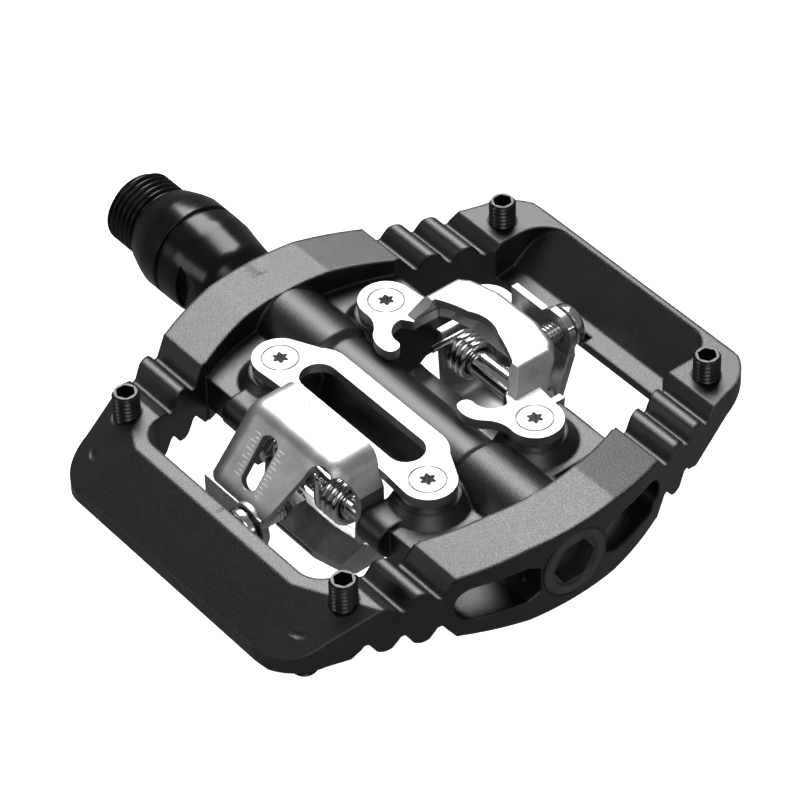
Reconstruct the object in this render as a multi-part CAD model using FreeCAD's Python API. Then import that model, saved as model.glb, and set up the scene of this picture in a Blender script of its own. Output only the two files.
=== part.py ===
import FreeCAD, Part
import math
import os

# Double-sided clipless trail pedal for the right-hand crank. Millimetres.
# The origin lies on the axle axis at the crank face, where the spindle thread starts.
# +Y runs along the axle towards the crank, +X towards the toe, +Z up.
# The cage and both bindings repeat by half a turn about the axle.

# ---- driving dimensions: cage ----
MID_Y = -67.5            # middle of the cage across the foot
HALF_LENGTH = 51.4       # toe edge and heel edge
HALF_WIDTH = 43.3        # side rails at the axle
SHOULDER_X = 21.0        # where the bulging rail turns into the straight side
SHOULDER_W = 39.2
CORNER_X = 43.0          # where the straight side turns into the corner
CORNER_W = 32.4
END_W = 21.0             # half width of the straight toe edge
RAIL_TOP = 8.0           # rail height above the axle, middle of the rail
PAD_TOP = 4.4            # pin pads at the four corners
RAIL_END = 21.6          # the rail's flat crown stops here, then the ridges start
RAIL_END_Z = 6.4
RIDGE_PITCH = 6.1
TOE_NOTCHES = (24.2, 30.3, 36.4)
HEEL_NOTCHES = (-30.3, -24.2)
NOTCH_FLOORS = (3.0, 2.6, 2.3)
RIDGE_TOPS = (5.4, 4.9)
FLOOR_TOP = 3.4          # cage floor between the rails
RAIL_INNER_MID = 33.0    # inner edge of the rail at the axle
RAIL_INNER_END = 27.6    # inner edge of the rail at the end of the floor
BLOCK_X = 20.7           # end of the cage floor, start of the open windows
WINDOW_X = 38.3          # far end of the window, at the toe bar or heel bar
WINDOW_W_FLOOR = 28.6    # half width of the window at the cage floor
WINDOW_W_BAR = 24.4      # half width of the window at the bar
BAY_W = 15.2             # half width of the spring bay between the bosses
BARREL_R = 7.9           # spindle barrel near the rails
WAIST_R = 6.9            # spindle barrel where it passes under the plates
WAIST_Y = 17.4

# ---- driving dimensions: spindle and bearings ----
THREAD_R = 7.144         # 9/16 inch pedal thread
THREAD_LENGTH = 9.0
SHOULDER_R = 9.3
BUSH_R = 6.05
JOURNAL_R = 6.0
BUSH_OUTER_R = 7.2
BEARING_OUTER_R = 6.5
BEARING_BORE_R = 3.0
BEARING_WIDTH = 4.6
FACE_OUT = MID_Y - HALF_WIDTH
FACE_IN = MID_Y + HALF_WIDTH

# ---- driving dimensions: bindings ----
SCREW_X = 11.45
SCREW_Y = 19.6
PLATE_TOP = 8.4
PLATE_T = 1.9
SHIM_T = 0.8
BOSS_R = 5.0
HEAD_R = 3.3
SCREW_R = 2.0
PIVOT_X = 20.0           # claw pivot, measured from the axle
PIVOT_Z = 1.0
PIVOT_R = 1.7
LIP_Z = 12.8             # top of the claw and of the toe hook
SHEET_T = 1.4
COIL_INNER = 2.65
COIL_OUTER = 4.1
COIL_START = 4.6         # first turn, measured from the middle
COIL_TURNS = 4
WIRE = 1.5
CLAW_FOLD_R = 4.2
BOLT_Z = -2.4
BOLT_R = 2.0
BOLT_HEAD_R = 3.8

# ---- driving dimensions: traction pins ----
PIN_R = 2.4
PIN_TOP = 8.9
PIN_SOCKET_R = 1.45
PIN_NEAR = (-36.7, 29.2)
PIN_FAR = (43.3, 26.7)

AXLE = FreeCAD.Vector(0, 1, 0)
UP = FreeCAD.Vector(0, 0, 1)
TOE = FreeCAD.Vector(1, 0, 0)
HUGE = 60.0


def vec(x, y, z):
    return FreeCAD.Vector(x, y, z)


def path(points, to_space):
    """Closed wire through 2D points; a point given as (mid, end) is an arc."""
    edges = []
    start = points[0]
    for step in list(points[1:]) + [points[0]]:
        if isinstance(step[0], tuple):
            mid, end = step
            edges.append(Part.Arc(to_space(*start), to_space(*mid), to_space(*end)).toShape())
        else:
            end = step
            if math.dist(start, end) > 1e-6:
                edges.append(Part.LineSegment(to_space(*start), to_space(*end)).toShape())
        start = end
    return Part.Wire(edges)


def prism_z(points, z0, z1, y_mid=MID_Y):
    """Solid of a plan outline given as (x, y from the cage middle)."""
    wire = path(points, lambda x, y: vec(x, y_mid + y, z0))
    return Part.Face(wire).extrude(vec(0, 0, z1 - z0))


def prism_y(points, y0, y1):
    """Solid of a side profile given as (x, z), from y0 to y1."""
    wire = path(points, lambda x, z: vec(x, y0, z))
    return Part.Face(wire).extrude(vec(0, y1 - y0, 0))


def prism_x(points, x0, x1):
    """Solid of an end profile given as (y from the cage middle, z), from x0 to x1."""
    wire = path(points, lambda y, z: vec(x0, MID_Y + y, z))
    return Part.Face(wire).extrude(vec(x1 - x0, 0, 0))


def turned(profile):
    """Revolve a profile of (y, radius) points about the axle."""
    wire = path(profile, lambda y, r: vec(r, y, 0))
    return Part.Face(wire).revolve(vec(0, 0, 0), AXLE, 360)


def cylinder_z(x, y, r, z0, z1):
    return Part.makeCylinder(r, z1 - z0, vec(x, MID_Y + y, z0), UP)


def cylinder_y(x, z, r, y0, y1):
    """Cylinder along the axle direction; y is measured from the cage middle."""
    return Part.makeCylinder(r, y1 - y0, vec(x, MID_Y + y0, z), AXLE)


def cylinder_x(y, z, r, x0, x1):
    return Part.makeCylinder(r, x1 - x0, vec(x0, MID_Y + y, z), TOE)


def box(x0, x1, y0, y1, z0, z1):
    return Part.makeBox(x1 - x0, y1 - y0, z1 - z0, vec(x0, MID_Y + y0, z0))


def flipped(shape):
    """The same piece on the other side of the pedal: half a turn about the axle."""
    return shape.rotated(vec(0, 0, 0), AXLE, 180)


def both_sides(shape):
    return [shape, flipped(shape)]


def hexagon(across_flats, to_point):
    """Corner points of a hexagonal socket, placed by to_point(angle, radius)."""
    corner = across_flats / math.sqrt(3)
    return [to_point(math.radians(60 * i), corner) for i in range(6)]


# ---------------------------------------------------------------- cage

def cage_outline():
    """Rounded rectangle whose long sides bulge round the axle."""
    return [(HALF_LENGTH, -END_W), (HALF_LENGTH, END_W),
            ((HALF_LENGTH - 1.9, END_W + 7.6), (CORNER_X, CORNER_W)), (SHOULDER_X, SHOULDER_W),
            ((0, HALF_WIDTH), (-SHOULDER_X, SHOULDER_W)), (-CORNER_X, CORNER_W),
            ((-HALF_LENGTH + 1.9, END_W + 7.6), (-HALF_LENGTH, END_W)), (-HALF_LENGTH, -END_W),
            ((-HALF_LENGTH + 1.9, -END_W - 7.6), (-CORNER_X, -CORNER_W)), (-SHOULDER_X, -SHOULDER_W),
            ((0, -HALF_WIDTH), (SHOULDER_X, -SHOULDER_W)), (CORNER_X, -CORNER_W),
            ((HALF_LENGTH - 1.9, -END_W - 7.6), (HALF_LENGTH, -END_W))]


def valley(x, z):
    """Rounded notch between two ridges, as side profile steps from heel to toe."""
    return [(x - 0.8, z + 0.8), ((x, z), (x + 0.8, z + 0.6))]


def ridge(x, z):
    """Rounded crest of one ridge."""
    return [(x - 1.2, z - 0.4), ((x + 0.1, z), (x + 1.5, z - 0.6))]


def upper_profile():
    """Top edge of the cage seen from the side, from the heel to the toe."""
    heel = [(-HALF_LENGTH, -1.2), (-41.0, PAD_TOP), (-33.4, PAD_TOP)]
    for notch_x, notch_z, crest in zip(HEEL_NOTCHES, NOTCH_FLOORS[1::-1], (RIDGE_TOPS[0], None)):
        heel += valley(notch_x, notch_z)
        if crest:
            heel += ridge(notch_x + RIDGE_PITCH / 2, crest)
    crown = [(-RAIL_END, RAIL_END_Z), (-9.0, RAIL_TOP), (9.0, RAIL_TOP), (RAIL_END, RAIL_END_Z)]
    toe = []
    for notch_x, notch_z, crest in zip(TOE_NOTCHES, NOTCH_FLOORS, RIDGE_TOPS + (None,)):
        toe += valley(notch_x, notch_z)
        if crest:
            toe += ridge(notch_x + RIDGE_PITCH / 2, crest)
    toe += [(39.0, PAD_TOP), (HALF_LENGTH - 0.8, PAD_TOP), (HALF_LENGTH, PAD_TOP - 0.8)]
    return heel + crown + toe


def cage_profile():
    """Full side profile: the top edge, then the same edge turned half way round."""
    upper = upper_profile()
    lower = []
    for step in upper:
        if isinstance(step[0], tuple):
            lower.append(tuple((-x, -z) for x, z in step))
        else:
            lower.append((-step[0], -step[1]))
    return upper + lower


def floor_recess():
    """Space above the cage floor, between the two rails."""
    plan = [(BLOCK_X + 1.5, RAIL_INNER_END), ((0, RAIL_INNER_MID), (-BLOCK_X - 1.5, RAIL_INNER_END)),
            (-BLOCK_X - 1.5, -RAIL_INNER_END), ((0, -RAIL_INNER_MID), (BLOCK_X + 1.5, -RAIL_INNER_END))]
    return prism_z(plan, FLOOR_TOP, 20)


def window():
    """Open window between the cage floor and the toe bar, with the spring bay."""
    r = 4.6
    k = r * (1 - math.sqrt(0.5))
    half = [(BLOCK_X, WINDOW_W_FLOOR), (WINDOW_X - r, WINDOW_W_BAR),
            ((WINDOW_X - k, WINDOW_W_BAR - k - 0.2), (WINDOW_X, WINDOW_W_BAR - r))]
    other = [(WINDOW_X, -WINDOW_W_BAR + r),
             ((WINDOW_X - k, -WINDOW_W_BAR + k + 0.2), (WINDOW_X - r, -WINDOW_W_BAR)),
             (BLOCK_X, -WINDOW_W_FLOOR)]
    bay = [(BLOCK_X, -BAY_W), (4.0, -BAY_W), (4.0, BAY_W), (BLOCK_X, BAY_W)]
    return prism_z(half + other + bay, -20, 20)


def toe_dish():
    """Dished inner slope of the toe bar, between the two pin pads."""
    rim = HALF_LENGTH - 1.6
    slope = prism_y([(rim, PAD_TOP), (41.9, -2.1), (WINDOW_X - 1, -3.0), (30, -3.0), (30, 20), (rim, 20)],
                    MID_Y - 40, MID_Y + 40)
    r = 6.0
    w = 22.0
    k = r * (1 - math.sqrt(0.5))
    plan = prism_z([(30, -w), (rim - r, -w), ((rim - k, -w + k), (rim, -w + r)), (rim, w - r),
                    ((rim - k, w - k), (rim - r, w)), (30, w)], -20, 20)
    return slope.common(plan)


def heel_corner_cut(side):
    """Slope that carries the heel bevel round one corner; side is +1 or -1."""
    length = 40.0
    run = vec(7.5, 14.5, 0).normalize()
    out = vec(-14.5, 7.5, 0).normalize()
    start = vec(-41.0, 21.0, PAD_TOP) - run * 10
    fall = vec(0, 0, -0.54 * 30)
    corners = [start, start + out * 30 + fall, start + out * 30 + vec(0, 0, 20), start + vec(0, 0, 20)]
    wire = Part.makePolygon(corners + [corners[0]])
    tool = Part.Face(wire).extrude(run * length)
    if side < 0:
        tool = tool.mirror(vec(0, 0, 0), AXLE)
    tool.translate(vec(0, MID_Y, 0))
    return tool


def side_pocket(sign):
    """Long round-ended opening in the outboard side wall beside the end cap."""
    inner = 6.9
    outer = 22.0
    half = 3.8
    r = half
    x_in = inner
    x_out = outer - r
    points = [(sign * x_in, -half + 1.2), (sign * x_in, half - 1.2), (sign * (x_in + 2.5), half),
              (sign * x_out, half - 0.2), ((sign * (x_out + r), 0), (sign * x_out, -half + 0.2)),
              (sign * (x_in + 2.5), -half)]
    return prism_y(points, FACE_OUT - 5, FACE_OUT + 15)


def boss_pads():
    """Towers under the plates with flared skirts, on one side of the cage."""
    pads = []
    top = PLATE_TOP - PLATE_T - SHIM_T
    for x in (-SCREW_X, SCREW_X):
        for y in (-SCREW_Y, SCREW_Y):
            pads.append(cylinder_z(x, y, BOSS_R + 0.5, 0, top))
            foot = vec(x, MID_Y + y, FLOOR_TOP - 1.0)
            pads.append(Part.makeCone(BOSS_R + 3.4, BOSS_R + 0.5, top - FLOOR_TOP + 0.7, foot, UP))
    return pads


def cage_holes():
    """Every bore and drilled hole of the cage."""
    seal_seat = cylinder_y(0, 0, BUSH_OUTER_R + 0.6, HALF_WIDTH - 4.0, HALF_WIDTH + 5)
    bush_seat = cylinder_y(0, 0, BUSH_OUTER_R, HALF_WIDTH - 24, HALF_WIDTH + 5)
    middle = cylinder_y(0, 0, 5.8, -HALF_WIDTH, HALF_WIDTH)
    bearing_seat = cylinder_y(0, 0, BEARING_OUTER_R, -HALF_WIDTH - 5, -HALF_WIDTH + 21)
    holes = [seal_seat, bush_seat, middle, bearing_seat]
    for x in (-SCREW_X, SCREW_X):
        for y in (-SCREW_Y, SCREW_Y):
            holes.append(cylinder_z(x, y, SCREW_R, -20, 20))
    for x, y in (PIN_NEAR, PIN_FAR):
        for side in (-1, 1):
            holes += both_sides(cylinder_z(x, side * y, PIN_R, -0.6, 20))
    holes += both_sides(cylinder_y(-PIVOT_X, PIVOT_Z, PIVOT_R, -19.5, 19.5))
    return holes


def bolt_notches():
    """V reliefs in the bar, so that a driver reaches the tension bolt."""
    notch = prism_x([(-4.8, BOLT_Z), (0, BOLT_Z - 6.0), (4.8, BOLT_Z), (0, BOLT_Z + 6.6)], -WINDOW_X - 1.6, -30)
    return both_sides(notch)


def make_barrel():
    """Round housing of the spindle, waisted where it passes under the plates."""
    end = HALF_WIDTH - 4.5
    half = [(end, BARREL_R), (WAIST_Y + 1.6, BARREL_R), (WAIST_Y, WAIST_R)]
    profile = [(MID_Y + y, r) for y, r in half] + [(MID_Y - y, r) for y, r in reversed(half)]
    return turned([(MID_Y + end, 0)] + profile + [(MID_Y - end, 0)])


def make_cage():
    full = prism_y(cage_profile(), MID_Y - 50, MID_Y + 50)
    cage = full.common(prism_z(cage_outline(), -20, 20))
    tools = []
    for cut in (floor_recess(), window(), toe_dish(), heel_corner_cut(1), heel_corner_cut(-1)):
        tools += both_sides(cut)
    tools += [side_pocket(1), side_pocket(-1)]
    cage = cage.cut(tools)
    barrel = make_barrel()
    lugs = []
    for side in (-1, 1):
        y0, y1 = sorted((side * BAY_W, side * 21.0))
        lug = cylinder_y(-PIVOT_X, PIVOT_Z, 3.2, y0, y1)
        lug = lug.fuse(box(-PIVOT_X, -PIVOT_X + 4, y0, y1, PIVOT_Z - 3.2, PIVOT_Z + 3.2))
        lugs += both_sides(lug)
    pads = boss_pads()
    pads += [flipped(pad) for pad in pads]
    cage = cage.fuse(pads).cut(both_sides(window()))
    cage = cage.fuse([barrel] + lugs)
    cage = cage.cut(cage_holes() + bolt_notches())
    return cage.removeSplitter()


# ---------------------------------------------------------------- spindle

def make_spindle():
    """Turned steel spindle, thread at the crank end and bearing seat at the far end."""
    far = FACE_OUT + 5.0
    bearing_start = FACE_OUT + 20.5
    bush_end = FACE_IN - 20.5
    profile = [(THREAD_LENGTH, 0), (THREAD_LENGTH, THREAD_R - 0.8), (THREAD_LENGTH - 0.8, THREAD_R),
               (0, THREAD_R), (0, 7.9), (-2.6, 8.8), (-4.6, SHOULDER_R), (-8.3, SHOULDER_R),
               (-8.6, SHOULDER_R - 0.6), (-9.3, SHOULDER_R - 0.6), (-9.6, SHOULDER_R),
               (-13.2, SHOULDER_R - 0.1), (-17.2, 8.5), (-20.6, 8.0), (-22.4, 6.9),
               (FACE_IN + 0.2, JOURNAL_R), (bush_end, JOURNAL_R), (bush_end - 3, 5.2),
               (bearing_start + 3, 4.2), (bearing_start, 4.2), (bearing_start, BEARING_BORE_R),
               (far, BEARING_BORE_R), (far, 0)]
    spindle = turned(profile)
    flats = []
    for side in (-1, 1):
        x0, x1 = sorted((side * 7.6, side * 20))
        flats.append(Part.makeBox(x1 - x0, 5.6, 40, vec(x0, -20.0, -20)))
    key = Part.Face(Part.makePolygon(closed(hexagon(8.0, lambda a, r: vec(
        r * math.cos(a), THREAD_LENGTH - 7.0, r * math.sin(a)))))).extrude(vec(0, 20, 0))
    return spindle.cut(flats + [key])


def closed(points):
    return points + [points[0]]


def ring(r_in, r_out, y0, y1):
    """Plain ring about the axle; y is measured from the cage middle."""
    return cylinder_y(0, 0, r_out, y0, y1).cut(cylinder_y(0, 0, r_in, y0 - 1, y1 + 1))


def make_bearings():
    """Two deep-groove cartridge bearings at the far end of the spindle."""
    outer = []
    inner = []
    balls = []
    ball_r = 0.95
    pitch_r = (BEARING_OUTER_R + BEARING_BORE_R) / 2
    for n in range(2):
        y0 = -HALF_WIDTH + 15.6 - BEARING_WIDTH * n
        y1 = y0 + BEARING_WIDTH - 0.1
        y_mid = (y0 + y1) / 2
        outer.append(ring(pitch_r + ball_r + 0.02, BEARING_OUTER_R, y0, y1))
        inner.append(ring(BEARING_BORE_R, pitch_r - ball_r - 0.02, y0, y1))
        for i in range(6):
            angle = math.radians(60 * i + 30 * n)
            at = vec(pitch_r * math.cos(angle), MID_Y + y_mid, pitch_r * math.sin(angle))
            balls.append(Part.makeSphere(ball_r, at))
    return outer, inner, balls


def make_lock_nut():
    nut_y = -HALF_WIDTH + 6.4
    wire = Part.makePolygon(closed(hexagon(7.4, lambda a, r: vec(
        r * math.cos(a), MID_Y + nut_y, r * math.sin(a)))))
    nut = Part.Face(wire).extrude(vec(0, 3.6, 0))
    return nut.cut(cylinder_y(0, 0, BEARING_BORE_R, -HALF_WIDTH, -HALF_WIDTH + 20))


def make_end_cap():
    """Threaded plug with a hexagonal socket, closing the bearing bore."""
    y0 = -HALF_WIDTH
    cap = cylinder_y(0, 0, BEARING_OUTER_R, y0, y0 + 4.4)
    wire = Part.makePolygon(closed(hexagon(7.0, lambda a, r: vec(
        r * math.cos(a), MID_Y + y0 - 1, r * math.sin(a)))))
    return cap.cut(Part.Face(wire).extrude(vec(0, 4.4, 0)))


# ---------------------------------------------------------------- binding plates and toe hook

def plate_holes():
    """Clearance and countersink for the two screws of a plate at positive x."""
    holes = []
    for y in (-SCREW_Y, SCREW_Y):
        holes.append(cylinder_z(SCREW_X, y, SCREW_R, 0, 20))
        cone = Part.makeCone(SCREW_R, HEAD_R, HEAD_R - SCREW_R,
                             vec(SCREW_X, MID_Y + y, PLATE_TOP - HEAD_R + SCREW_R), UP)
        holes.append(cone)
    return holes


def hook_outline():
    """Plan of the toe plate: two round bosses, each with a horn curling inwards."""
    half = [(17.2, 12.2), (16.4, 19.6), ((SCREW_X, SCREW_Y + BOSS_R), (6.6, 18.9)),
            ((6.2, 16.8), (4.4, 14.4)), ((3.2, 12.4), (3.1, 9.9)), ((4.6, 8.4), (6.2, 9.9)),
            ((7.2, 12.9), (10.2, 14.0)), (11.4, 12.2)]
    return half


def make_toe_plate():
    """Flat part of the toe hook: two feet that the screws hold."""
    z0 = PLATE_TOP - PLATE_T
    feet = []
    for side in (1, -1):
        if side > 0:
            points = hook_outline()
        else:
            points = []
            for step in hook_outline():
                if isinstance(step[0], tuple):
                    points.append(tuple((x, -y) for x, y in step))
                else:
                    points.append((step[0], -step[1]))
        feet.append(prism_z(points, z0, PLATE_TOP))
    return feet


def loft(low, z_low, high, z_high):
    """Straight loft between two plan polygons."""
    wires = []
    for points, z in ((low, z_low), (high, z_high)):
        space = [vec(x, MID_Y + y, z) for x, y in points]
        wires.append(Part.makePolygon(closed(space)))
    return Part.makeLoft(wires, True, True)


def make_toe_strap():
    """Bent strap that rises from the feet and leans forward over the cleat nose."""
    z0 = PLATE_TOP - PLATE_T
    t = SHEET_T + 0.2
    low = [(10.6, -15.2), (17.6, -15.2), (19.6, -12.6), (20.6, -6), (20.6, 6), (19.6, 12.6), (17.6, 15.2),
           (10.6, 15.2)]
    high = [(14.2, -12.2), (22.6, -12.2), (25.0, -9.6), (26.8, -4.4), (26.8, 4.4), (25.0, 9.6), (22.6, 12.2),
            (14.2, 12.2)]
    outer = loft(low, z0, high, LIP_Z)
    rim = [edge for edge in outer.Edges if edge.BoundBox.ZMin > LIP_Z - 0.01 and edge.BoundBox.XMax > 15]
    outer = outer.makeFillet(1.5, rim)
    low_in = [(5.0, -15.2 + t), (17.6 - t, -15.2 + t), (19.6 - t, -12.2 + t), (20.6 - t, -6), (20.6 - t, 6),
              (19.6 - t, 12.2 - t), (17.6 - t, 15.2 - t), (5.0, 15.2 - t)]
    high_in = [(9.0, -12.2 + t), (22.4 - t, -12.2 + t), (24.8 - t, -9.2 + t), (26.8 - t, -4.4),
               (26.8 - t, 4.4), (24.8 - t, 9.2 - t), (22.4 - t, 12.2 - t), (9.0, 12.2 - t)]
    inner = loft(low_in, z0 - 0.001, high_in, LIP_Z - t)
    strap = outer.cut(inner)
    mouth = prism_z([(0, 10.4), (14.8, 10.4), ((16.2, 7.4), (17.0, 4.4)), ((18.2, 1.0), (17.2, -3.4)),
                     ((15.8, -7.4), (14.4, -10.4)), (0, -10.4)], PLATE_TOP + 0.4, LIP_Z + 3)
    return strap.cut(mouth)


def make_toe_hook():
    hook = make_toe_strap().fuse(make_toe_plate())
    keep_clear = box(-10, 40, -HUGE, HUGE, -20, PLATE_TOP - PLATE_T)
    hook = hook.cut(plate_holes() + [keep_clear])
    return hook.removeSplitter()


def heel_plate_outline():
    """Plan of the heel plate at negative x: a loop round a long slot."""
    return [(-15.9, -14.0), (-16.3, -SCREW_Y), ((-SCREW_X, -SCREW_Y - BOSS_R), (-6.9, -21.6)),
            (-4.6, -17.0), ((-3.3, -15.0), (-2.9, -12.4)), (-2.9, 12.4), ((-3.3, 15.0), (-4.6, 17.0)),
            (-6.9, 21.6), ((-SCREW_X, SCREW_Y + BOSS_R), (-16.3, SCREW_Y)), (-15.9, 14.0)]


def make_heel_plate():
    z0 = PLATE_TOP - PLATE_T
    plate = prism_z(heel_plate_outline(), z0, PLATE_TOP)
    r = 3.2
    x0 = -12.8
    x1 = -6.2
    y = 14.9
    slot = prism_z([(x0, -y + r), (((x0 + x1) / 2, -y), (x1, -y + r)), (x1, y - r),
                    (((x0 + x1) / 2, y), (x0, y - r))], z0 - 1, PLATE_TOP + 1)
    holes = []
    for hole in plate_holes():
        holes.append(hole.mirror(vec(0, 0, 0), TOE))
    return plate.cut([slot] + holes)


def make_shims(sign):
    """Two thin spacers under one plate; sign +1 is the toe plate, -1 the heel plate."""
    z1 = PLATE_TOP - PLATE_T
    shims = []
    for y in (-SCREW_Y, SCREW_Y):
        shim = cylinder_z(sign * SCREW_X, y, BOSS_R - 0.1, z1 - SHIM_T, z1)
        shims.append(shim.cut(cylinder_z(sign * SCREW_X, y, SCREW_R, 0, 20)))
    return shims


def make_plate_screws():
    """Four countersunk screws on one side."""
    screws = []
    for x in (-SCREW_X, SCREW_X):
        for y in (-SCREW_Y, SCREW_Y):
            shank = cylinder_z(x, y, SCREW_R, 0.3, PLATE_TOP - 0.2)
            cone = Part.makeCone(SCREW_R, HEAD_R, HEAD_R - SCREW_R,
                                 vec(x, MID_Y + y, PLATE_TOP - HEAD_R + SCREW_R), UP)
            socket = cylinder_z(x, y, 1.15, PLATE_TOP - 1.4, PLATE_TOP + 1)
            screws.append(shank.fuse(cone).cut(socket).removeSplitter())
    return screws


# ---------------------------------------------------------------- sprung claw

def claw_slope_x(z):
    """Where the claw's outer slope stands at height z."""
    return -25.7 + (z - 11.2) * 8.3 / 10.6


def claw_hood(inset):
    """Solid hood of the claw; inset shrinks it by the sheet thickness for the hollow."""
    i = inset
    deep = 7 if i else 0
    top = LIP_Z - i
    shift = 1.27 * i
    side = [(-15.9 + deep, top), (claw_slope_x(top) + shift, top), (claw_slope_x(-6) + shift, -6),
            (-16.8 + deep, -6), (-16.8 + deep, 9.2)]
    hood = prism_y(side, MID_Y - 24, MID_Y + 20)
    flare = 1.1 * i
    end = [(-11.9 + flare, LIP_Z), (-20.8 + flare, -6), (12.9 - i, -6), (11.9 - i, LIP_Z)]
    hood = hood.common(prism_x(end, -45, 0))
    folds = []
    for edge in hood.Edges:
        size = edge.BoundBox
        on_top = size.ZMin > top - 0.01 and (size.XLength > 3 or size.XMax < -20)
        on_slope = size.XLength > 4 and size.ZLength > 5
        if on_top or on_slope:
            folds.append(edge)
    hood = hood.makeFillet(CLAW_FOLD_R - i, folds)
    return hood.common(box(-45, 0, -14.8 + i, 20, -12, 20))


def claw_arch():
    """Arched opening at the outboard corner of the slope, running on into the cheek."""
    front = prism_x([(-3.8, -8), (-3.8, 0.2), (-7.0, 9.4), ((-9.0, 11.9), (-11.6, 10.8)), (-18, 9.6), (-18, -8)],
                    -40, -23.6)
    cheek = prism_y([(-40, -8), (-22.4, -8), (-21.8, 3.0), ((-22.4, 8.4), (-24.0, 10.9)), (-40, 10.9)],
                    MID_Y - 20, MID_Y - 9.2)
    return [front, cheek]


def claw_window():
    """Round-ended window on the slope, where the tension pointer shows."""
    slope = vec(-8.3, 0, -10.6).normalize()
    normal = vec(-10.6, 0, 8.3).normalize()
    middle = vec(-29.2, MID_Y + 2.6, 6.9)
    reach = slope * 3.9
    side = AXLE * 1.95
    near = slope * 5.0
    corners = [middle - reach - side, middle - reach + side, middle + reach + side, middle + reach - side]
    edges = [Part.LineSegment(corners[1], corners[2]).toShape(),
             Part.Arc(corners[2], middle + near, corners[3]).toShape(),
             Part.LineSegment(corners[3], corners[0]).toShape(),
             Part.Arc(corners[0], middle - near, corners[1]).toShape()]
    slot = Part.Face(Part.Wire(edges))
    slot.translate(normal * -4)
    return slot.extrude(normal * 8)


def make_claw():
    """Pressed steel hood with the heel lip, a window on the slope and a side arch."""
    claw = claw_hood(0).cut(claw_hood(SHEET_T))
    lip_wave = prism_z([(0, 16), (-16.2, 16), (-16.2, 6.0), (-16.9, 4.2), ((-18.5, 1.2), (-17.0, -2.6)),
                        ((-16.5, -4.0), (-16.1, -5.6)), (-16.1, -16), (0, -16)], LIP_Z - 1.6, LIP_Z + 3)
    belly = prism_y([(-45, 0.8), (-32.6, 0.8), (-26.6, -1.2), ((-24.6, -1.9), (-23.2, -3.4)), (0, -3.4),
                     (0, -12), (-45, -12)], MID_Y - 24, MID_Y + 20)
    pivot = cylinder_y(-PIVOT_X, PIVOT_Z, PIVOT_R + 0.05, -20, 20)
    claw = claw.cut(claw_arch() + [lip_wave, claw_window(), belly, pivot])
    return claw.fuse(make_claw_bridge()).removeSplitter()


def make_claw_bridge():
    """Cross plate at the foot of the claw that carries the tension bolt."""
    web = box(-34.0, -32.6, -3.6, 11.6, -5.0, 1.0)
    shoulder = cylinder_x(0, BOLT_Z, 4.2, -34.0, -32.6)
    web = web.fuse(shoulder)
    trim = box(-40, 0, -20, 20, -12, -6.4)
    return web.cut([cylinder_x(0, BOLT_Z, BOLT_R + 0.1, -40, 0), trim])


def make_pivot_pin():
    return cylinder_y(-PIVOT_X, PIVOT_Z, PIVOT_R, -19.3, 19.3)


def make_tension_bolt():
    """Domed bolt that presses on the spring through the nut."""
    shank = cylinder_x(0, BOLT_Z, BOLT_R, -34.8, -23.2)
    head = cylinder_x(0, BOLT_Z, BOLT_HEAD_R, -36.4, -34.6)
    dome_r = 7.5
    centre_x = -37.4 + dome_r
    dome = Part.makeSphere(dome_r, vec(centre_x, MID_Y, BOLT_Z))
    dome = dome.common(cylinder_x(0, BOLT_Z, BOLT_HEAD_R, -38.0, -36.38))
    socket = cylinder_x(0, BOLT_Z, 1.5, -39.0, -35.6)
    return head.fuse([shank, dome]).cut(socket).removeSplitter()


def make_bolt_washer():
    return cylinder_x(0, BOLT_Z, BOLT_HEAD_R - 0.4, -34.6, -34.0).cut(
        cylinder_x(0, BOLT_Z, BOLT_R + 0.1, -35, -31))


def make_tension_nut():
    """Nut block on the bolt, with the upright pointer seen in the claw window."""
    block = box(-27.6, -24.8, -4.0, 4.6, -5.0, 0.8)
    pointer = prism_y([(-27.2, 0.4), (-24.8, 0.4), (-24.8, 4.2), ((-25.2, 5.0), (-25.8, 5.2)), (-26.6, 5.2)],
                      MID_Y + 0.9, MID_Y + 4.3)
    nut = block.fuse(pointer).cut(cylinder_x(0, BOLT_Z, BOLT_R + 0.1, -30, -20))
    return nut.removeSplitter()


def make_spring():
    """Two close-wound coils round the pivot; the turns show as ridges of each coil."""
    coils = []
    for side in (-1, 1):
        outline = [(COIL_START, COIL_INNER)]
        for i in range(COIL_TURNS):
            y = COIL_START + WIRE * i
            outline += [(y, COIL_OUTER - 0.45), (y + WIRE * 0.3, COIL_OUTER), (y + WIRE * 0.7, COIL_OUTER)]
        end = COIL_START + WIRE * COIL_TURNS
        outline += [(end, COIL_OUTER - 0.45), (end, COIL_INNER)]
        coil = turned([(MID_Y + side * y, r) for y, r in outline])
        coil.translate(vec(-PIVOT_X, 0, PIVOT_Z))
        coils.append(coil)
    return coils


def make_spring_sleeve():
    """Plastic sleeve between the pivot pin and the coils."""
    sleeve = cylinder_y(-PIVOT_X, PIVOT_Z, 2.45, -10.9, 10.9)
    return sleeve.cut(cylinder_y(-PIVOT_X, PIVOT_Z, PIVOT_R, -13, 13))


# ---------------------------------------------------------------- traction pins

def make_traction_pins():
    """Four hollow-headed studs on one side of the cage."""
    pins = []
    for x, y in (PIN_NEAR, PIN_FAR):
        for side in (-1, 1):
            body = cylinder_z(x, side * y, PIN_R, -0.4, PIN_TOP - 0.35)
            crown = Part.makeCone(PIN_R, PIN_R - 0.35, 0.35, vec(x, MID_Y + side * y, PIN_TOP - 0.35), UP)
            socket = cylinder_z(x, side * y, PIN_SOCKET_R, PIN_TOP - 3.0, PIN_TOP + 1)
            pins.append(body.fuse(crown).cut(socket).removeSplitter())
    return pins


# ---------------------------------------------------------------- output

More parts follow.
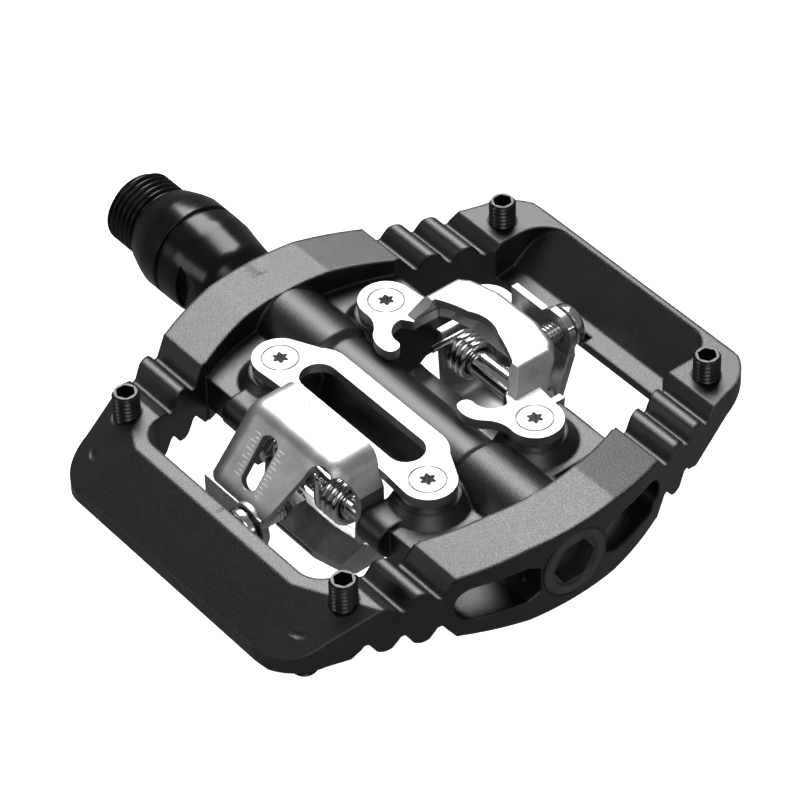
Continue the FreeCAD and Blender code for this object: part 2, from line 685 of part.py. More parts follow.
def save(name, solids):
    """Write one node; several solids make a group in one file."""
    if not isinstance(solids, list):
        solids = [solids]
    parts = []
    for solid in solids:
        parts += solid.Solids
    shape = parts[0] if len(parts) == 1 else Part.makeCompound(parts)
    shape.exportStep("parts/" + name + ".step")
    count = sum(len(solid.Faces) for solid in parts)
    print(name, "solids", len(parts), "faces", count, "valid", all(s.isValid() for s in parts))


def save_pair(name, solids):
    """Write a binding piece for the upper side and the same piece for the lower side."""
    if not isinstance(solids, list):
        solids = [solids]
    save(name + "_top", solids)
    save(name + "_bottom", [flipped(solid) for solid in solids])


def main():
    os.makedirs("parts", exist_ok=True)
    save("pedal_body", make_cage())
    save("spindle", make_spindle())
    outer, inner, balls = make_bearings()
    save("bearing_outer_races", outer)
    save("bearing_inner_races", inner)
    save("bearing_balls", balls)
    save("spindle_bush", ring(BUSH_R, BUSH_OUTER_R, HALF_WIDTH - 20, HALF_WIDTH - 4.0))
    save("spindle_seal", ring(JOURNAL_R + 0.1, BUSH_OUTER_R + 0.6, HALF_WIDTH - 4.0, HALF_WIDTH - 0.6))
    save("spindle_washer", ring(BEARING_BORE_R, 4.6, -HALF_WIDTH + 10.0, -HALF_WIDTH + 10.9))
    save("spindle_lock_nut", make_lock_nut())
    save("end_cap", make_end_cap())
    save_pair("toe_hook", make_toe_hook())
    save_pair("heel_plate", make_heel_plate())
    save_pair("toe_hook_shims", make_shims(1))
    save_pair("heel_plate_shims", make_shims(-1))
    save_pair("plate_screws", make_plate_screws())
    save_pair("claw", make_claw())
    save_pair("claw_pivot_pin", make_pivot_pin())
    save_pair("torsion_spring", make_spring())
    save_pair("spring_sleeve", make_spring_sleeve())
    save_pair("tension_bolt", make_tension_bolt())
    save_pair("bolt_washer", make_bolt_washer())
    save_pair("tension_nut", make_tension_nut())
    save_pair("traction_pins", make_traction_pins())


main()
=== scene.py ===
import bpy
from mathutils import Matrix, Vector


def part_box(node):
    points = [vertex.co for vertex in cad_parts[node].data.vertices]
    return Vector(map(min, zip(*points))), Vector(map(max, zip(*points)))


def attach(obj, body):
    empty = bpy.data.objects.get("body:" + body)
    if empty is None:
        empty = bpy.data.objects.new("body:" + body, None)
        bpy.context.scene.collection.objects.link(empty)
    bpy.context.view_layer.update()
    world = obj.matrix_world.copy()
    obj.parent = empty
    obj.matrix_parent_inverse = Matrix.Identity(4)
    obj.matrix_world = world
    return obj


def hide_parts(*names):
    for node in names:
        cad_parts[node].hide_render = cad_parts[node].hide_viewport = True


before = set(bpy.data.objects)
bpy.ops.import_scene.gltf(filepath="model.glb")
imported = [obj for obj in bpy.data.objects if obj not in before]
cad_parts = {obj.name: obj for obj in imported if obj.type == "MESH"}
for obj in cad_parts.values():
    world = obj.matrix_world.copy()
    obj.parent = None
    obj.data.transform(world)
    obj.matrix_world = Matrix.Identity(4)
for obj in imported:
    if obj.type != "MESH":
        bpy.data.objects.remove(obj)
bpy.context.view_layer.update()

import logging
import math
from dataclasses import dataclass, field
from enum import Enum
from typing import Callable, Iterable

import bmesh
import bpy
from mathutils import Matrix, Quaternion, Vector

logging.basicConfig(level=logging.INFO, format="%(message)s")
LOG = logging.getLogger("pedal")

MM = 0.001
MID_Y = -0.0675                # middle of the cage, along the axle
LOBE_SWING = 0.18              # depth of the six lobes, as a share of the corner radius
CREST_END = 0.16               # a thread's flat crest, flank and root end at these shares of the pitch
FLANK_END = 0.56
ROOT_END = 0.68
Colour = tuple[float, float, float]


class Side(Enum):
    """The two faces of the pedal; the lower one is the upper one turned about the axle."""

    TOP = "top"
    BOTTOM = "bottom"

    def turn(self) -> Matrix:
        """Returns the half turn about the axle for the lower face, or no turn."""
        return Matrix.Rotation(math.pi if self is Side.BOTTOM else 0.0, 4, "Y")


class Socket(Enum):
    """Plan of a driver socket in a screw head."""

    HEX = "hex"
    SIX_LOBE = "six_lobe"

    def reach(self, angle: float, radius: float) -> float:
        """Distance from the centre to the socket wall.

        Args:
            angle: direction round the screw, in radians.
            radius: the socket's corner radius in metres.

        Returns:
            The wall's distance in metres.
        """
        if self is Socket.HEX:
            sector = math.pi / 3
            return radius * math.cos(sector / 2) / math.cos(angle % sector - sector / 2)
        return radius * (1 - LOBE_SWING + LOBE_SWING * math.cos(6 * angle))


# ------------------------------------------------------------------ finishes


class NodeBuilder:
    """Adds and links shader nodes of one material."""

    def __init__(self, name: str) -> None:
        """Starts a material with an output and a surface shader.

        Args:
            name: the material's name.
        """
        self.material = bpy.data.materials.new(name)
        self.material.use_nodes = True
        self.tree = self.material.node_tree
        self.tree.nodes.clear()
        self.shader = self.add("ShaderNodeBsdfPrincipled")
        output = self.add("ShaderNodeOutputMaterial")
        self.link(self.shader.outputs["BSDF"], output.inputs["Surface"])
        self.coords = self.add("ShaderNodeTexCoord").outputs["Object"]

    def add(self, kind: str, **settings: object) -> bpy.types.Node:
        """Adds a node.

        Args:
            kind: the node's type name.
            settings: attributes to set on it.

        Returns:
            The new node.
        """
        node = self.tree.nodes.new(kind)
        for key, value in settings.items():
            setattr(node, key, value)
        return node

    def link(self, source: bpy.types.NodeSocket, target: bpy.types.NodeSocket) -> None:
        """Joins two sockets."""
        self.tree.links.new(source, target)

    def noise(self, scale: float, detail: float = 3.0,
              stretch: Colour = (1, 1, 1)) -> bpy.types.NodeSocket:
        """Adds a noise pattern.

        Args:
            scale: features per metre.
            detail: number of finer octaves.
            stretch: scale along each axis.

        Returns:
            The noise's value socket.
        """
        mapping = self.add("ShaderNodeMapping")
        mapping.inputs["Scale"].default_value = stretch
        self.link(self.coords, mapping.inputs["Vector"])
        noise = self.add("ShaderNodeTexNoise")
        noise.inputs["Scale"].default_value = scale
        noise.inputs["Detail"].default_value = detail
        self.link(mapping.outputs["Vector"], noise.inputs["Vector"])
        return noise.outputs["Fac"]

    def ramp(self, value: bpy.types.NodeSocket, low: float, high: float,
             start: Colour, end: Colour) -> bpy.types.NodeSocket:
        """Maps a value to a colour between two stops.

        Args:
            value: the value socket.
            low: value at the first colour.
            high: value at the second colour.
            start: first colour.
            end: second colour.

        Returns:
            The colour socket.
        """
        ramp = self.add("ShaderNodeValToRGB")
        first, last = ramp.color_ramp.elements
        first.position, last.position = low, high
        first.color = (*start, 1)
        last.color = (*end, 1)
        self.link(value, ramp.inputs["Fac"])
        return ramp.outputs["Color"]

    def spread(self, value: bpy.types.NodeSocket, low: float, high: float) -> bpy.types.NodeSocket:
        """Maps a noise value to a range.

        Args:
            value: the value socket.
            low: result at 0.3.
            high: result at 0.7.

        Returns:
            The result socket.
        """
        node = self.add("ShaderNodeMapRange")
        node.inputs["From Min"].default_value = 0.3
        node.inputs["From Max"].default_value = 0.7
        node.inputs["To Min"].default_value = low
        node.inputs["To Max"].default_value = high
        self.link(value, node.inputs["Value"])
        return node.outputs["Result"]

    def relief(self, height: bpy.types.NodeSocket, depth: float, strength: float,
               edge: float = 0.0) -> None:
        """Gives the shader a bump, over softened edges where edge is set.

        Args:
            height: the height pattern.
            depth: bump distance in metres.
            strength: bump strength from 0 to 1.
            edge: radius of the softened edges in metres.
        """
        bump = self.add("ShaderNodeBump")
        bump.inputs["Distance"].default_value = depth
        bump.inputs["Strength"].default_value = strength
        self.link(height, bump.inputs["Height"])
        if edge:
            bevel = self.add("ShaderNodeBevel", samples=6)
            bevel.inputs["Radius"].default_value = edge
            self.link(bevel.outputs["Normal"], bump.inputs["Normal"])
        self.link(bump.outputs["Normal"], self.shader.inputs["Normal"])


@dataclass(frozen=True)
class Finish:
    """A surface with colour variation, grain and uneven gloss.

    Sizes of the patterns are given as features per metre.
    """

    name: str
    dark: Colour
    light: Colour
    metallic: float
    rough: tuple[float, float]
    grain_scale: float
    grain_depth: float
    grain_strength: float = 0.4
    mottle_scale: float = 260.0
    edge: float = 0.0
    specular: float = 0.5
    stretch: Colour = (1, 1, 1)

    def build(self) -> bpy.types.Material:
        """Returns the material for this finish."""
        made = bpy.data.materials.get(self.name)
        if made is not None:
            return made
        kit = NodeBuilder(self.name)
        shader = kit.shader
        shader.inputs["Metallic"].default_value = self.metallic
        shader.inputs["Specular IOR Level"].default_value = self.specular
        mottle = kit.noise(self.mottle_scale, 4.0)
        grain = kit.noise(self.grain_scale, 2.0, self.stretch)
        kit.link(kit.ramp(mottle, 0.35, 0.68, self.dark, self.light), shader.inputs["Base Color"])
        kit.link(kit.spread(grain, *self.rough), shader.inputs["Roughness"])
        kit.relief(grain, self.grain_depth, self.grain_strength, self.edge)
        return kit.material


CAGE = Finish("bead blasted black anodising", (0.0012, 0.0012, 0.0014), (0.0034, 0.0034, 0.0037), 0.0,
              (0.28, 0.44), 5200.0, 0.00006, 0.6, edge=0.0008, specular=0.6)
SPINDLE = Finish("black finished spindle steel", (0.0012, 0.0012, 0.0014), (0.003, 0.003, 0.0034), 0.0,
                 (0.16, 0.28), 900.0, 0.00001, 0.25, edge=0.0002, stretch=(1, 14, 1), specular=0.3)
BLACK_STEEL = Finish("black oxide steel", (0.002, 0.002, 0.0022), (0.006, 0.006, 0.0066), 0.0, (0.2, 0.34),
                     2400.0, 0.00001, 0.3, specular=0.38)
PLATE_STEEL = Finish("tumbled stainless plate", (0.36, 0.36, 0.365), (0.50, 0.50, 0.505), 1.0, (0.38, 0.52),
                     3200.0, 0.00002, 0.25, edge=0.0002)
CLAW_STEEL = Finish("tumbled stainless claw", (0.36, 0.36, 0.365), (0.48, 0.48, 0.485), 1.0, (0.38, 0.50),
                    3600.0, 0.00002, 0.3, edge=0.0003)
BRIGHT_STEEL = Finish("bright turned steel", (0.58, 0.58, 0.585), (0.72, 0.72, 0.725), 1.0, (0.12, 0.24),
                      1500.0, 0.00001, 0.15, edge=0.0001)
CHROME = Finish("polished spring wire", (0.62, 0.62, 0.63), (0.78, 0.78, 0.79), 1.0, (0.06, 0.16),
                1200.0, 0.000005, 0.1)
NUT_STEEL = Finish("dull grey nut steel", (0.20, 0.20, 0.205), (0.34, 0.34, 0.345), 1.0, (0.26, 0.42),
                   2600.0, 0.00002, 0.2, edge=0.0002)
BRONZE = Finish("sintered bronze", (0.35, 0.24, 0.10), (0.48, 0.34, 0.16), 1.0, (0.35, 0.5), 3000.0, 0.00002)
RUBBER = Finish("black seal rubber", (0.006, 0.006, 0.006), (0.012, 0.012, 0.012), 0.0, (0.55, 0.75),
                2600.0, 0.00002, specular=0.25)
CAP = Finish("matt black cap", (0.014, 0.014, 0.0145), (0.024, 0.024, 0.0245), 0.0, (0.38, 0.55),
             3600.0, 0.00002, edge=0.0002, specular=0.28)
MARKING = Finish("pale etched mark", (0.55, 0.55, 0.55), (0.75, 0.75, 0.75), 0.0, (0.5, 0.7), 4000.0, 0.00001,
                 specular=0.3)

NODE_FINISH: dict[str, Finish] = {
    "pedal_body": CAGE, "spindle": SPINDLE, "bearing_outer_races": BRIGHT_STEEL,
    "bearing_inner_races": BRIGHT_STEEL, "bearing_balls": CHROME, "spindle_bush": BRONZE,
    "spindle_seal": RUBBER, "spindle_washer": BRIGHT_STEEL, "spindle_lock_nut": BLACK_STEEL, "end_cap": CAP,
    "toe_hook": PLATE_STEEL, "heel_plate": PLATE_STEEL, "toe_hook_shims": BRIGHT_STEEL,
    "heel_plate_shims": BRIGHT_STEEL, "plate_screws": BRIGHT_STEEL, "claw": CLAW_STEEL,
    "claw_pivot_pin": BRIGHT_STEEL, "torsion_spring": CHROME, "spring_sleeve": CHROME,
    "tension_bolt": BRIGHT_STEEL, "bolt_washer": BLACK_STEEL, "tension_nut": NUT_STEEL,
    "traction_pins": BLACK_STEEL}


def dress_nodes() -> None:
    """Gives every CAD node its finish."""
    for name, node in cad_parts.items():
        stem = name.removesuffix("_top").removesuffix("_bottom")
        finish = NODE_FINISH[stem]
        node.data.materials.clear()
        node.data.materials.append(finish.build())


# ------------------------------------------------------------------ mesh work


class Piece:
    """One new mesh object, built in a bmesh and finished in place."""

    def __init__(self, name: str) -> None:
        """Starts an empty piece.

        Args:
            name: the object's name.
        """
        self.name = name
        self.bm = bmesh.new()

    def revolve(self, profile: Iterable[tuple[float, float]], steps: int, rise: float = 0.0) -> None:
        """Spins a profile of (radius, height) points about Z.

        Args:
            profile: the points, in metres.
            steps: number of facets round the axis.
            rise: height gained in one turn, for a thread.
        """
        verts = [self.bm.verts.new((r, 0, z)) for r, z in profile]
        edges = [self.bm.edges.new(pair) for pair in zip(verts, verts[1:])]
        bmesh.ops.spin(self.bm, geom=verts + edges, cent=(0, 0, 0), axis=(0, 0, 1), dvec=(0, 0, rise / steps),
                       angle=math.tau, steps=steps, use_merge=not rise, use_duplicate=False)
        bmesh.ops.remove_doubles(self.bm, verts=self.bm.verts, dist=2e-6)

    def trim(self, height: float, keep_below: bool) -> list[bmesh.types.BMEdge]:
        """Cuts the piece level and drops one side.

        Args:
            height: height of the cut.
            keep_below: whether the lower side stays.

        Returns:
            The edges of the open cut.
        """
        made = bmesh.ops.bisect_plane(self.bm, geom=self.bm.verts[:] + self.bm.edges[:] + self.bm.faces[:],
                                      dist=1e-7, plane_co=(0, 0, height), plane_no=(0, 0, 1),
                                      clear_outer=keep_below, clear_inner=not keep_below)
        return [e for e in made["geom_cut"] if isinstance(e, bmesh.types.BMEdge)]

    def close(self, edges: list[bmesh.types.BMEdge]) -> None:
        """Fills an open loop."""
        bmesh.ops.holes_fill(self.bm, edges=edges, sides=0)

    def step_in(self, edges: list[bmesh.types.BMEdge], place: Callable[[Vector], Vector]) -> list:
        """Extrudes an open loop and moves its new points.

        Args:
            edges: the open loop.
            place: gives each new point's place from its old one.

        Returns:
            The new open loop's edges.
        """
        made = bmesh.ops.extrude_edge_only(self.bm, edges=edges)["geom"]
        for vert in made:
            if isinstance(vert, bmesh.types.BMVert):
                vert.co = place(vert.co)
        return [e for e in made if isinstance(e, bmesh.types.BMEdge)]

    def sink(self, edges: list[bmesh.types.BMEdge], shape: Socket, radius: float, depth: float) -> None:
        """Sinks a driver socket into the open loop at the head's face.

        Args:
            edges: the open loop.
            shape: plan of the socket.
            radius: its corner radius.
            depth: its depth.
        """
        def wall(point: Vector) -> Vector:
            angle = math.atan2(point.y, point.x)
            reach = shape.reach(angle, radius)
            return Vector((reach * math.cos(angle), reach * math.sin(angle), point.z))

        loop = self.step_in(edges, wall)
        loop = self.step_in(loop, lambda p: Vector((p.x, p.y, p.z - depth)))
        self.close(loop)

    def copy_to(self, places: list[Matrix]) -> None:
        """Replaces the shape by one copy at each place.

        Args:
            places: the copies' matrices.
        """
        first = self.bm.verts[:] + self.bm.edges[:] + self.bm.faces[:]
        for place in places[1:]:
            made = bmesh.ops.duplicate(self.bm, geom=first)["geom"]
            verts = [v for v in made if isinstance(v, bmesh.types.BMVert)]
            bmesh.ops.transform(self.bm, matrix=place, verts=verts)
        verts = [v for v in first if isinstance(v, bmesh.types.BMVert)]
        bmesh.ops.transform(self.bm, matrix=places[0], verts=verts)

    def finish(self, body: str, finish: Finish, slot: str, smooth: float = 35.0) -> bpy.types.Object:
        """Makes the object, dresses it and lets it ride on a body.

        Args:
            body: the CAD body that it moves with.
            finish: its surface.
            slot: the record's material slot; not used.
            smooth: largest angle that is shaded smooth, in degrees.

        Returns:
            The new object.
        """
        bmesh.ops.recalc_face_normals(self.bm, faces=self.bm.faces)
        for face in self.bm.faces:
            face.smooth = True
        for edge in self.bm.edges:
            edge.smooth = len(edge.link_faces) == 2 and edge.calc_face_angle(0.0) < math.radians(smooth)
        mesh = bpy.data.meshes.new(self.name)
        self.bm.to_mesh(mesh)
        self.bm.free()
        mesh.materials.append(finish.build())
        made = bpy.data.objects.new(self.name, mesh)
        bpy.context.scene.collection.objects.link(made)
        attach(made, body)
        LOG.info("%s: %d faces, rides on %s", self.name, len(mesh.polygons), body)
        return made


def thread_profile(major: float, depth: float, pitch: float, length: float) -> list[tuple[float, float]]:
    """Outline of a thread with flat crests, one pitch longer than the rod at each end.

    Args:
        major: outer radius.
        depth: depth of the thread.
        pitch: distance from crest to crest.
        length: length of the finished rod.

    Returns:
        (radius, height) points.
    """
    points = []
    turns = math.ceil(length / pitch) + 3
    for i in range(turns):
        z = (i - 2) * pitch
        points += [(major, z), (major, z + CREST_END * pitch), (major - depth, z + FLANK_END * pitch),
                   (major - depth, z + ROOT_END * pitch)]
    points.append((major, (turns - 2) * pitch))
    return points


# ------------------------------------------------------------------ sub-assemblies


@dataclass
class TractionPins:
    """Threaded studs that stand out of the corner pads."""

    side: Side
    radius: float = 2.4 * MM
    thread_depth: float = 0.28 * MM
    pitch: float = 0.8 * MM
    foot: float = 0.5 * MM
    top: float = 8.9 * MM
    chamfer: float = 0.45 * MM
    socket_radius: float = 1.74 * MM
    socket_depth: float = 2.6 * MM
    places: list[tuple[float, float]] = field(default_factory=lambda: [
        (-36.7, 29.2), (-36.7, -29.2), (43.3, 26.7), (43.3, -26.7)])

    def build(self) -> None:
        """Makes the four studs of one side."""
        piece = Piece(f"threaded_studs_{self.side.value}")
        length = self.top - self.foot
        piece.revolve(thread_profile(self.radius, self.thread_depth, self.pitch, length), 32, self.pitch)
        foot = piece.trim(0.0, False)
        head = piece.trim(length - self.chamfer, True)
        piece.close(foot)
        inner = self.radius - self.thread_depth - self.chamfer * 0.25

        def lead_in(point: Vector) -> Vector:
            flat = point.xy.normalized() * inner
            return Vector((flat.x, flat.y, length))

        piece.sink(piece.step_in(head, lead_in), Socket.HEX, self.socket_radius, self.socket_depth)
        turn = self.side.turn()
        piece.copy_to([turn @ Matrix.Translation((x * MM, MID_Y + y * MM, self.foot))
                       for x, y in self.places])
        made = piece.finish("cage", BLACK_STEEL, "black_steel")
        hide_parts(f"traction_pins_{self.side.value}")


@dataclass
class PlateScrews:
    """Countersunk screws with six-lobe sockets that hold the binding plates."""

    side: Side
    head: float = 3.3 * MM
    shank: float = 2.0 * MM
    top: float = 8.4 * MM
    foot: float = 0.6 * MM
    socket_radius: float = 1.45 * MM
    socket_depth: float = 1.5 * MM
    rim: float = 0.3 * MM
    x: float = 11.45 * MM
    y: float = 19.6 * MM

    def build(self) -> None:
        """Makes the four screws of one side."""
        piece = Piece(f"six_lobe_screws_{self.side.value}")
        length = self.top - self.foot
        cone = self.head - self.shank
        piece.revolve([(self.shank, 0), (self.shank, length - cone),
                       (self.head - 0.02 * MM, length - self.rim), (self.head - self.rim, length),
                       (self.head - 0.9 * MM, length + 0.02 * MM)], 48)
        open_edges = [e for e in piece.bm.edges if e.is_boundary]
        foot = [e for e in open_edges if e.verts[0].co.z < length / 2]
        face = [e for e in open_edges if e.verts[0].co.z > length / 2]
        piece.close(foot)
        piece.sink(face, Socket.SIX_LOBE, self.socket_radius, self.socket_depth)
        turn = self.side.turn()
        spots = [(sx * self.x, MID_Y + sy * self.y) for sx in (-1, 1) for sy in (-1, 1)]
        piece.copy_to([turn @ Matrix.Translation((x, y, self.foot)) for x, y in spots])
        made = piece.finish("cage", PLATE_STEEL, "plate_satin_steel")
        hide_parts(f"plate_screws_{self.side.value}")


@dataclass
class EndCap:
    """Threaded cap over the outer bearing, with a wide hex socket behind a round lead-in."""

    radius: float = 6.45 * MM
    lip: float = 0.25 * MM
    lead_in: float = 4.7 * MM
    socket_radius: float = 4.35 * MM
    socket_depth: float = 3.0 * MM

    def build(self) -> None:
        """Makes the cap between the CAD cap's two faces."""
        low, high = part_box("end_cap")
        length = high[1] - low[1]
        piece = Piece("bearing_end_cap")
        piece.revolve([(self.radius, 0), (self.radius, length - self.lip), (self.radius - self.lip, length),
                       (self.lead_in, length), (self.lead_in - 0.2 * MM, length - 0.35 * MM)], 64)
        rims = [e for e in piece.bm.edges if e.is_boundary]
        piece.close([e for e in rims if e.verts[0].co.z < length / 2])
        piece.sink([e for e in rims if e.verts[0].co.z > length / 2], Socket.HEX, self.socket_radius,
                   self.socket_depth)
        piece.copy_to([Matrix.Translation((0, high[1], 0)) @ Matrix.Rotation(math.pi / 2, 4, "X")])
        made = piece.finish("cage", CAP, "cap_black_plastic")
        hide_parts("end_cap")


@dataclass
class SpindleThread:
    """The threaded crank end, cut over the plain end of the turned spindle."""

    radius: float = 7.14 * MM
    depth: float = 0.62 * MM
    pitch: float = 1.27 * MM
    length: float = 9.0 * MM
    chamfer: float = 0.7 * MM
    chamfer_inset: float = 0.3 * MM
    socket_radius: float = 4.6 * MM
    socket_depth: float = 6.8 * MM

    def build(self) -> None:
        """Makes the thread and the turned part behind it."""
        piece = Piece("spindle_threaded_end")
        piece.revolve(thread_profile(self.radius, self.depth, self.pitch, self.length), 72, self.pitch)
        foot = piece.trim(0.0, False)
        head = piece.trim(self.length - self.chamfer, True)
        piece.close(foot)
        inner = self.radius - self.depth - self.chamfer_inset

        def lead_in(point: Vector) -> Vector:
            flat = point.xy.normalized() * inner
            return Vector((flat.x, flat.y, self.length))

        piece.sink(piece.step_in(head, lead_in), Socket.HEX, self.socket_radius, self.socket_depth)
        piece.copy_to([Matrix.Rotation(-math.pi / 2, 4, "X")])
        made = piece.finish("spindle", SPINDLE, "spindle_black_steel")
        shank = Piece("spindle_turned_shank")
        shank.bm.from_mesh(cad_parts["spindle"].data)
        bmesh.ops.remove_doubles(shank.bm, verts=shank.bm.verts, dist=1e-6)
        geometry = shank.bm.verts[:] + shank.bm.edges[:] + shank.bm.faces[:]
        cut = bmesh.ops.bisect_plane(shank.bm, geom=geometry, dist=1e-7, plane_co=(0, 0, 0),
                                     plane_no=(0, 1, 0), clear_outer=True)
        shank.close([e for e in cut["geom_cut"] if isinstance(e, bmesh.types.BMEdge)])
        rest = shank.finish("spindle", SPINDLE, "spindle_black_steel", 28.0)
        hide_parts("spindle")
        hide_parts("spindle")


@dataclass
class TensionBolt:
    """Domed hex-socket bolt that sets the spring tension, with its threaded shank."""

    side: Side
    shank: float = 2.0 * MM
    thread_depth: float = 0.3 * MM
    pitch: float = 0.7 * MM
    length: float = 11.4 * MM
    head: float = 3.8 * MM
    bearing_face: Vector = field(default_factory=lambda: Vector((-34.6 * MM, MID_Y, -2.4 * MM)))
    socket_radius: float = 1.9 * MM
    socket_depth: float = 1.7 * MM

    def build(self) -> None:
        """Makes the bolt of one side."""
        piece = Piece(f"domed_tension_bolt_{self.side.value}")
        profile = thread_profile(self.shank, self.thread_depth, self.pitch, self.length)
        piece.revolve(profile, 24, self.pitch)
        piece.close(piece.trim(0.0, False))
        piece.close(piece.trim(self.length, True))
        bmesh.ops.translate(piece.bm, vec=(0, 0, -self.length), verts=piece.bm.verts)
        dome = [(self.shank * 0.8, 0.0), (self.head - 0.2 * MM, 0.0), (self.head, 0.2 * MM),
                (self.head, 1.1 * MM), (self.head - 0.12 * MM, 1.45 * MM), (self.head - 0.5 * MM, 1.9 * MM),
                (self.head - 1.0 * MM, 2.25 * MM), (self.head - 1.5 * MM, 2.45 * MM),
                (self.socket_radius + 0.15 * MM, 2.5 * MM)]
        piece.revolve(dome, 48)
        rims = [e for e in piece.bm.edges if e.is_boundary]
        piece.close([e for e in rims if e.verts[0].co.z < MM])
        piece.sink([e for e in rims if e.verts[0].co.z > MM], Socket.HEX, self.socket_radius,
                   self.socket_depth)
        outward = Matrix.Rotation(-math.pi / 2, 4, "Y")
        piece.copy_to([self.side.turn() @ Matrix.Translation(self.bearing_face) @ outward])
        made = piece.finish(f"tension_bolt_{self.side.value}", BRIGHT_STEEL, "black_steel")
        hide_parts(f"tension_bolt_{self.side.value}")


@dataclass
class TorsionSpring:
    """Double torsion spring round the claw pivot: two coils joined by a loop, each with a leg."""

    side: Side
    pivot_x: float = -20.0 * MM
    pivot_z: float = 1.0 * MM
    wire: float = 0.66 * MM
    coil: float = 3.38 * MM
    outer_end: float = 9.94 * MM
    inner_end: float = 5.4 * MM
    turns: float = 3.25
    leg: float = 6.5 * MM
    loop_rise: float = 4.3 * MM
    loop_bend: float = 1.3 * MM
    wire_sides: int = 14
    steps_per_turn: int = 32
    bend_steps: int = 8

    def build(self) -> None:
        """Makes the wire of one side: leg, coil and half of the loop, mirrored about the middle."""
        piece = Piece(f"double_torsion_spring_{self.side.value}")
        bm = piece.bm
        foot = Vector((self.pivot_x, MID_Y + self.outer_end, self.pivot_z - self.coil))
        ring = bmesh.ops.create_circle(bm, segments=self.wire_sides, radius=self.wire,
                                       matrix=Matrix.Translation(foot) @ Matrix.Rotation(math.pi / 2, 4, "Y"))
        start = list({edge for vert in ring["verts"] for edge in vert.link_edges})
        steps = round(self.steps_per_turn * self.turns)
        advance = (self.inner_end - self.outer_end) / steps
        last = bmesh.ops.spin(bm, geom=ring["verts"] + start, cent=(self.pivot_x, 0, self.pivot_z),
                              axis=(0, 1, 0), dvec=(0, advance, 0), angle=math.tau * self.turns,
                              steps=steps)["geom_last"]
        top = [e for e in last if isinstance(e, bmesh.types.BMEdge)]
        piece.close(piece.step_in(start, lambda p: p + Vector((self.leg, 0, 0))))
        top = piece.step_in(top, lambda p: p + Vector((0, 0, self.loop_rise)))
        hinge = (0, MID_Y + self.inner_end - self.loop_bend, self.pivot_z + self.loop_rise)
        verts = list({v for e in top for v in e.verts})
        last = bmesh.ops.spin(bm, geom=verts + top, cent=hinge, axis=(1, 0, 0), angle=math.pi / 2,
                              steps=self.bend_steps)["geom_last"]
        top = [e for e in last if isinstance(e, bmesh.types.BMEdge)]
        piece.step_in(top, lambda p: Vector((p.x, MID_Y, p.z)))
        bmesh.ops.mirror(bm, geom=bm.verts[:] + bm.edges[:] + bm.faces[:],
                         matrix=Matrix.Translation((0, -MID_Y, 0)), merge_dist=1e-6, axis="Y")
        piece.copy_to([self.side.turn()])
        made = piece.finish("cage", CHROME, "spring_chrome", 50.0)
        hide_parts(f"torsion_spring_{self.side.value}")


@dataclass
class ClawMarks:
    """Graduation beside the pointer window on the claw's slope."""

    side: Side
    centre: Vector = field(default_factory=lambda: Vector((-29.07 * MM, MID_Y + 2.6 * MM, 6.9 * MM)))
    down: Vector = field(default_factory=lambda: Vector((-8.3, 0, -10.6)).normalized())
    count: int = 11
    gap: float = 0.78 * MM
    long: float = 1.45 * MM
    short: float = 0.75 * MM
    width: float = 0.2 * MM
    depth: float = 0.06 * MM
    lift: float = 0.01 * MM
    start: float = 2.45 * MM
    plus: float = 1.1 * MM

    def bar(self, piece: Piece, across: float, along: float, size: tuple[float, float]) -> None:
        """Adds one raised bar.

        Args:
            piece: the piece that takes it.
            across: distance from the window's middle line, along the axle.
            along: distance from the window's centre, down the slope.
            size: the bar's length along the axle and its width.
        """
        outward = Vector((self.down.z, 0, -self.down.x))
        basis = Matrix((Vector((0, 1, 0)), self.down, outward)).transposed().to_4x4()
        place = Matrix.Translation(self.centre) @ basis @ Matrix.Translation((across, along, self.lift))
        scale = Matrix.Diagonal((*size, self.depth, 1.0))
        made = bmesh.ops.create_cube(piece.bm, size=1.0)
        bmesh.ops.transform(piece.bm, matrix=self.side.turn() @ place @ scale, verts=made["verts"])

    def build(self) -> None:
        """Makes the marks of one claw, with a plus sign at the stronger end."""
        piece = Piece(f"claw_graduation_{self.side.value}")
        for lane in (-1, 1):
            for i in range(self.count):
                size = self.short if i % 2 else self.long
                along = (i - (self.count - 1) / 2) * self.gap
                self.bar(piece, lane * (self.start + size / 2), along, (size, self.width))
        foot = (self.count + 1.6) / 2 * self.gap
        across = -self.start - self.plus / 2
        self.bar(piece, across, foot, (self.plus, self.width))
        self.bar(piece, across, foot, (self.width, self.plus))
        piece.finish(f"claw_{self.side.value}", MARKING, "claw_satin_steel")


# ------------------------------------------------------------------ studio


@dataclass(frozen=True)
class Lamp:
    """A soft square light that points at the middle of the pedal.

    Its place and its edge are in metres, its power in watts.
    """

    name: str
    place: Vector
    size: float
    power: float

    def build(self) -> None:
        """Adds the light."""
        data = bpy.data.lights.new(self.name, "AREA")
        data.size = self.size
        data.energy = self.power
        lamp = bpy.data.objects.new(self.name, data)
        bpy.context.scene.collection.objects.link(lamp)
        lamp.location = self.place
        lamp.rotation_mode = "QUATERNION"
        lamp.rotation_quaternion = (Vector((0, MID_Y, 0)) - self.place).to_track_quat("-Z", "Y")


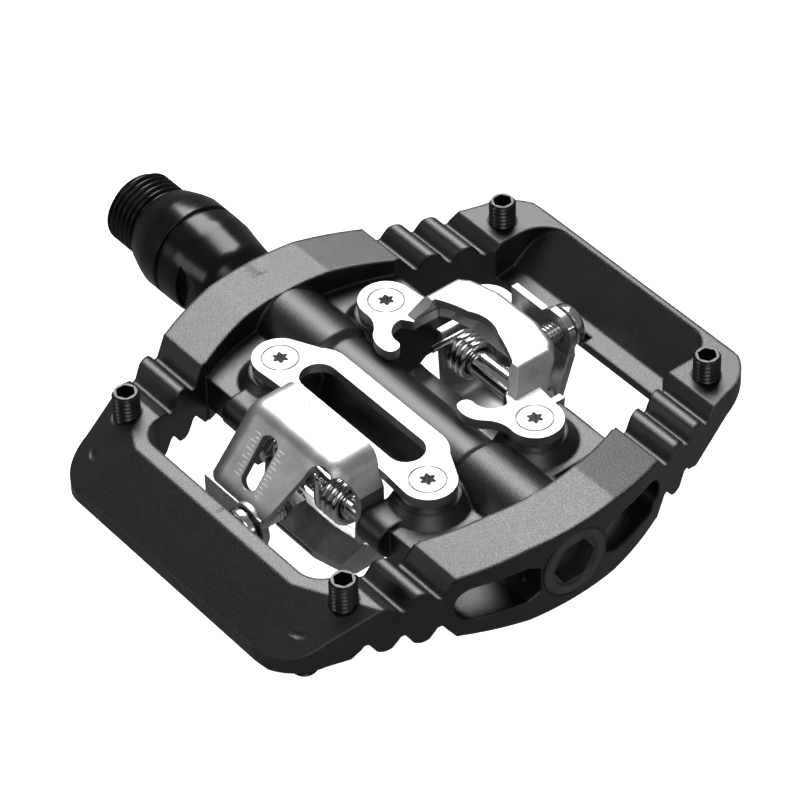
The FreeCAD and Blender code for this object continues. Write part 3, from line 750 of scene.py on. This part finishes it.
@dataclass
class Studio:
    """Pale floor, soft lights and the camera."""

    floor_z: float = -0.056          # below the cage when it stands on end
    floor_reach: float = 4.0
    floor_rough: float = 0.9
    floor_tone: float = 0.8
    floor_glow: float = 0.75
    sky_strength: float = 0.2
    lamps: list[Lamp] = field(default_factory=lambda: [
        Lamp("top_light", Vector((0.34, 0.44, 0.74)), 0.55, 11.0),
        Lamp("side_light", Vector((0.15, -1.0, 0.25)), 0.4, 0.7),
        Lamp("front_light", Vector((-0.40, -0.62, 0.80)), 0.5, 3.0),
        Lamp("heel_light", Vector((-0.95, 0.45, 0.40)), 0.35, 1.1)])
    camera_place: Vector = field(default_factory=lambda: Vector((-0.32851, -0.48765, 0.48720)))
    camera_turn: Quaternion = field(
        default_factory=lambda: Quaternion((0.859889, 0.385971, -0.126261, -0.309313)))
    lens: float = 193.4
    sensor: float = 36.0
    clip: tuple[float, float] = (0.01, 20.0)

    def build(self) -> None:
        """Makes the floor, the lights and the camera."""
        self.floor()
        self.sky()
        for lamp in self.lamps:
            lamp.build()
        bpy.context.scene.view_settings.view_transform = "Standard"
        camera = bpy.data.objects.new("camera", bpy.data.cameras.new("camera"))
        bpy.context.scene.collection.objects.link(camera)
        camera.location = self.camera_place
        camera.rotation_mode = "QUATERNION"
        camera.rotation_quaternion = self.camera_turn
        camera.data.lens = self.lens
        camera.data.sensor_width = self.sensor
        camera.data.clip_start, camera.data.clip_end = self.clip
        bpy.context.scene.camera = camera

    def floor(self) -> None:
        """Makes the pale floor."""
        bm = bmesh.new()
        bmesh.ops.create_grid(bm, x_segments=1, y_segments=1, size=self.floor_reach)
        mesh = bpy.data.meshes.new("floor")
        bmesh.ops.translate(bm, vec=(0, 0, self.floor_z), verts=bm.verts)
        bm.to_mesh(mesh)
        bm.free()
        kit = NodeBuilder("pale floor")
        kit.shader.inputs["Base Color"].default_value = (*[self.floor_tone] * 3, 1)
        kit.shader.inputs["Emission Color"].default_value = (1, 1, 1, 1)
        kit.shader.inputs["Emission Strength"].default_value = self.floor_glow
        kit.shader.inputs["Roughness"].default_value = self.floor_rough
        mesh.materials.append(kit.material)
        floor = bpy.data.objects.new("floor", mesh)
        bpy.context.scene.collection.objects.link(floor)
        floor.visible_glossy = False

    def sky(self) -> None:
        """Lights the scene evenly from all round."""
        world = bpy.data.worlds.new("studio")
        bpy.context.scene.world = world
        world.use_nodes = True
        world.node_tree.nodes["Background"].inputs["Color"].default_value = (1, 1, 1, 1)
        world.node_tree.nodes["Background"].inputs["Strength"].default_value = self.sky_strength


def main() -> None:
    """Builds the pedal's looks in order."""
    dress_nodes()
    SpindleThread().build()
    EndCap().build()
    for side in Side:
        TractionPins(side).build()
        PlateScrews(side).build()
        TensionBolt(side).build()
        TorsionSpring(side).build()
        ClawMarks(side).build()
    Studio().build()


if __name__ == "__main__":
    main()
